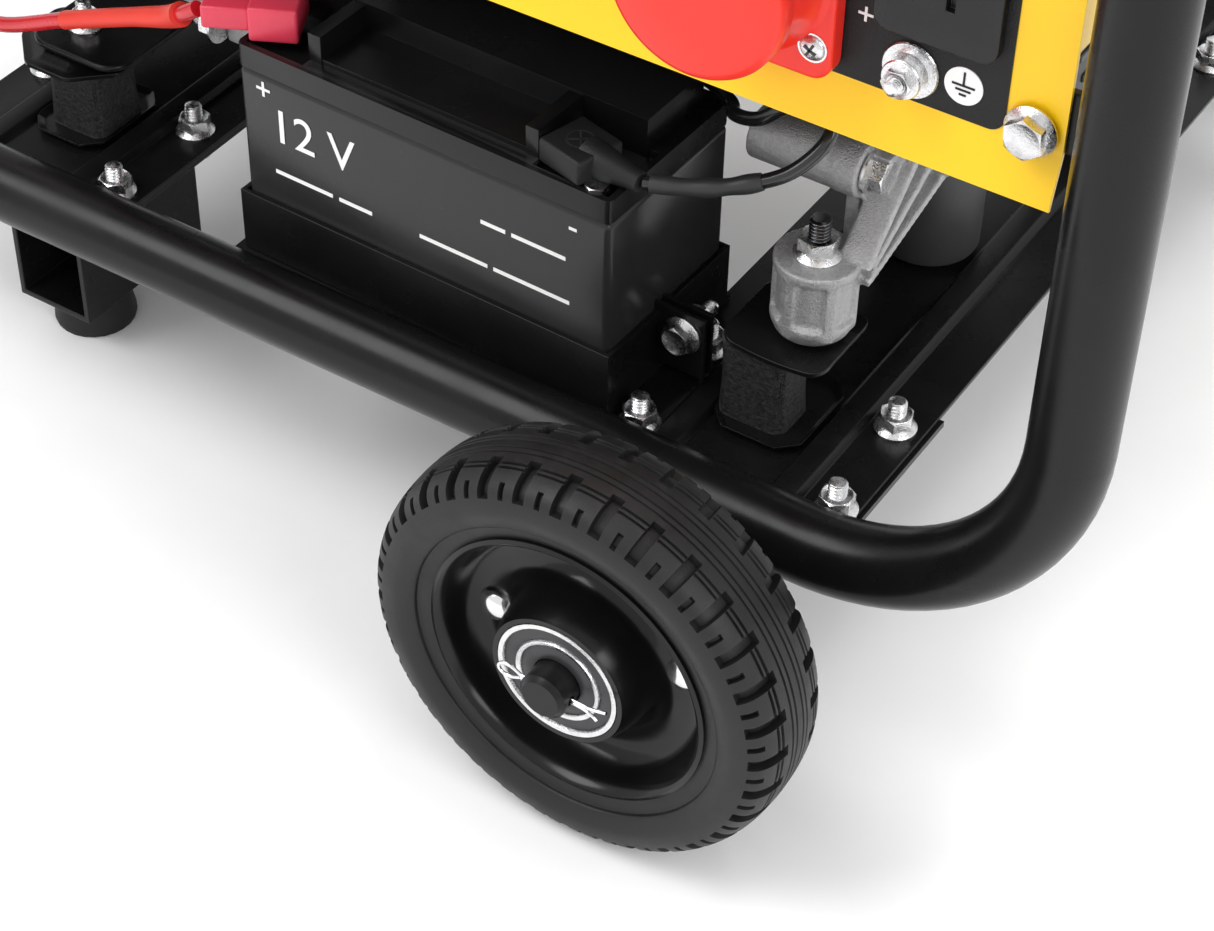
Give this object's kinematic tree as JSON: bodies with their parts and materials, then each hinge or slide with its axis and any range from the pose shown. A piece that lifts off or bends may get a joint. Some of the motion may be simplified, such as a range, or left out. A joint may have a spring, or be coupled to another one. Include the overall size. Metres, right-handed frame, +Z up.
{
  "type": "portable generator",
  "caption": "Open-frame petrol generator with a bent tube frame, two wheels, two feet, a swing-out handle, a starter battery and a panel with a three-phase socket.",
  "frame": {"origin": "on the ground, below the middle of the frame's box", "axes": "+X along the crankshaft from the recoil starter towards the wheels, the control panel faces -Y, +Z up"},
  "size_m": [0.685, 0.702, 0.6403],
  "materials": {
    "black_paint": "gloss black powder coat",
    "yellow_paint": "gloss yellow paint",
    "zinc": "bright zinc plate",
    "cast_aluminium": "sand-cast, matt",
    "rubber": "matt black rubber",
    "tyre_rubber": "matt black tyre rubber",
    "black_plastic": "satin black",
    "red_plastic": "satin red",
    "boot_red": "red rubber",
    "steel": "plain steel",
    "dark_steel": "dark lacquered laminations"
  },
  "bodies": {
    "frame": {"front_frame_tube": "black_paint", "rear_frame_tube": "black_paint", "right_cross_member": "black_paint", "left_cross_member": "black_paint", "front_axle_bracket": "black_paint", "rear_axle_bracket": "black_paint", "front_leg_bracket": "black_paint", "rear_leg_bracket": "black_paint", "front_foot": "rubber", "rear_foot": "rubber", "battery_case": "black_plastic", "battery_lid": "black_plastic", "battery_clamp_front": "black_paint", "battery_clamp_rear": "black_paint", "negative_terminal_boot": "rubber", "positive_terminal_boot": "boot_red", "black_battery_lead": "black_plastic", "red_battery_lead": "boot_red", "alternator_mount_front": "rubber", "alternator_mount_rear": "rubber", "engine_mount_front": "rubber", "engine_mount_rear": "rubber", "bump_stop": "rubber", "alternator_stator": "dark_steel", "alternator_end_bracket": "cast_aluminium", "alternator_end_cover": "black_plastic", "engine_base_beam": "black_paint", "crankcase": "cast_aluminium", "finned_cylinder": "cast_aluminium", "rocker_cover": "steel", "fan_shroud": "black_paint", "recoil_starter": "black_plastic", "muffler": "steel", "air_filter": "black_plastic", "carburettor": "cast_aluminium", "starter_motor": "black_paint", "fuel_tank": "yellow_paint", "control_panel": "yellow_paint", "control_box": "black_paint", "three_phase_socket": "red_plastic", "dc_outlet": "black_plastic", "mains_outlet": "black_plastic", "earth_terminal": "zinc"},
    "front_wheel": {"front_tyre": "tyre_rubber", "front_rim": "black_paint", "front_wheel_bearing": "zinc"},
    "rear_wheel": {"rear_tyre": "tyre_rubber", "rear_rim": "black_paint", "rear_wheel_bearing": "zinc"},
    "handle": {"handle_bar": "black_paint", "handle_grip": "rubber"},
    "crank": {"rotor_and_crankshaft": "steel"},
    "recoil_grip": {"recoil_handle": "black_plastic"},
    "choke": {"choke_lever": "zinc"},
    "oil_dipstick": {"dipstick": "black_plastic"},
    "filler_cap": {"fuel_cap": "black_plastic"},
    "fuel_tap": {"fuel_valve_lever": "black_plastic"},
    "socket_lid": {"three_phase_lid": "red_plastic"},
    "breaker": {"breaker_toggle": "black_plastic"},
    "key": {"ignition_key": "zinc"}
  },
  "joints": [
    {"name": "front_wheel_spin", "type": "hinge", "parent": "frame", "child": "front_wheel", "pos_m": [0.183, -0.315, 0.09], "axis": [0, 1, 0], "continuous": true},
    {"name": "rear_wheel_spin", "type": "hinge", "parent": "frame", "child": "rear_wheel", "pos_m": [0.183, 0.315, 0.09], "axis": [0, 1, 0], "continuous": true},
    {"name": "handle_swing", "type": "hinge", "parent": "frame", "child": "handle", "pos_m": [-0.3265, 0, 0.47], "axis": [0, 1, 0], "range_deg": [0, 90]},
    {"name": "crank_spin", "type": "hinge", "parent": "frame", "child": "crank", "pos_m": [0, -0.042, 0.28], "axis": [1, 0, 0], "continuous": true},
    {"name": "recoil_pull", "type": "slide", "parent": "frame", "child": "recoil_grip", "axis": [-1, 0, 0], "range_m": [0, 0.6], "stiffness_N_per_m": 20, "springref_m": -0.4},
    {"name": "choke_turn", "type": "hinge", "parent": "frame", "child": "choke", "pos_m": [-0.1678, -0.06, 0.433], "axis": [1, 0, 0], "range_deg": [-55, 0]},
    {"name": "dipstick_twist", "type": "hinge", "parent": "frame", "child": "oil_dipstick", "pos_m": [-0.077, -0.1565, 0.2155], "axis": [0, -1, 0], "range_deg": [0, 720]},
    {"name": "fuel_cap_twist", "type": "hinge", "parent": "frame", "child": "filler_cap", "pos_m": [-0.11, 0, 0.629], "axis": [0, 0, 1], "range_deg": [0, 90]},
    {"name": "fuel_tap_turn", "type": "hinge", "parent": "frame", "child": "fuel_tap", "pos_m": [-0.19, -0.0523, 0.465], "axis": [0, 1, 0], "range_deg": [-90, 0]},
    {"name": "socket_lid_lift", "type": "hinge", "parent": "frame", "child": "socket_lid", "pos_m": [0.181, -0.2523, 0.3842], "axis": [-1, 0, 0], "range_deg": [0, 100], "stiffness_Nm_per_rad": 0.012, "springref_deg": -51.57},
    {"name": "breaker_flip", "type": "hinge", "parent": "frame", "child": "breaker", "pos_m": [0.12, -0.2273, 0.44], "axis": [1, 0, 0], "range_deg": [0, 40]},
    {"name": "key_turn", "type": "hinge", "parent": "frame", "child": "key", "pos_m": [0.05, -0.2323, 0.44], "axis": [0, 1, 0], "range_deg": [0, 90]}
  ]
}
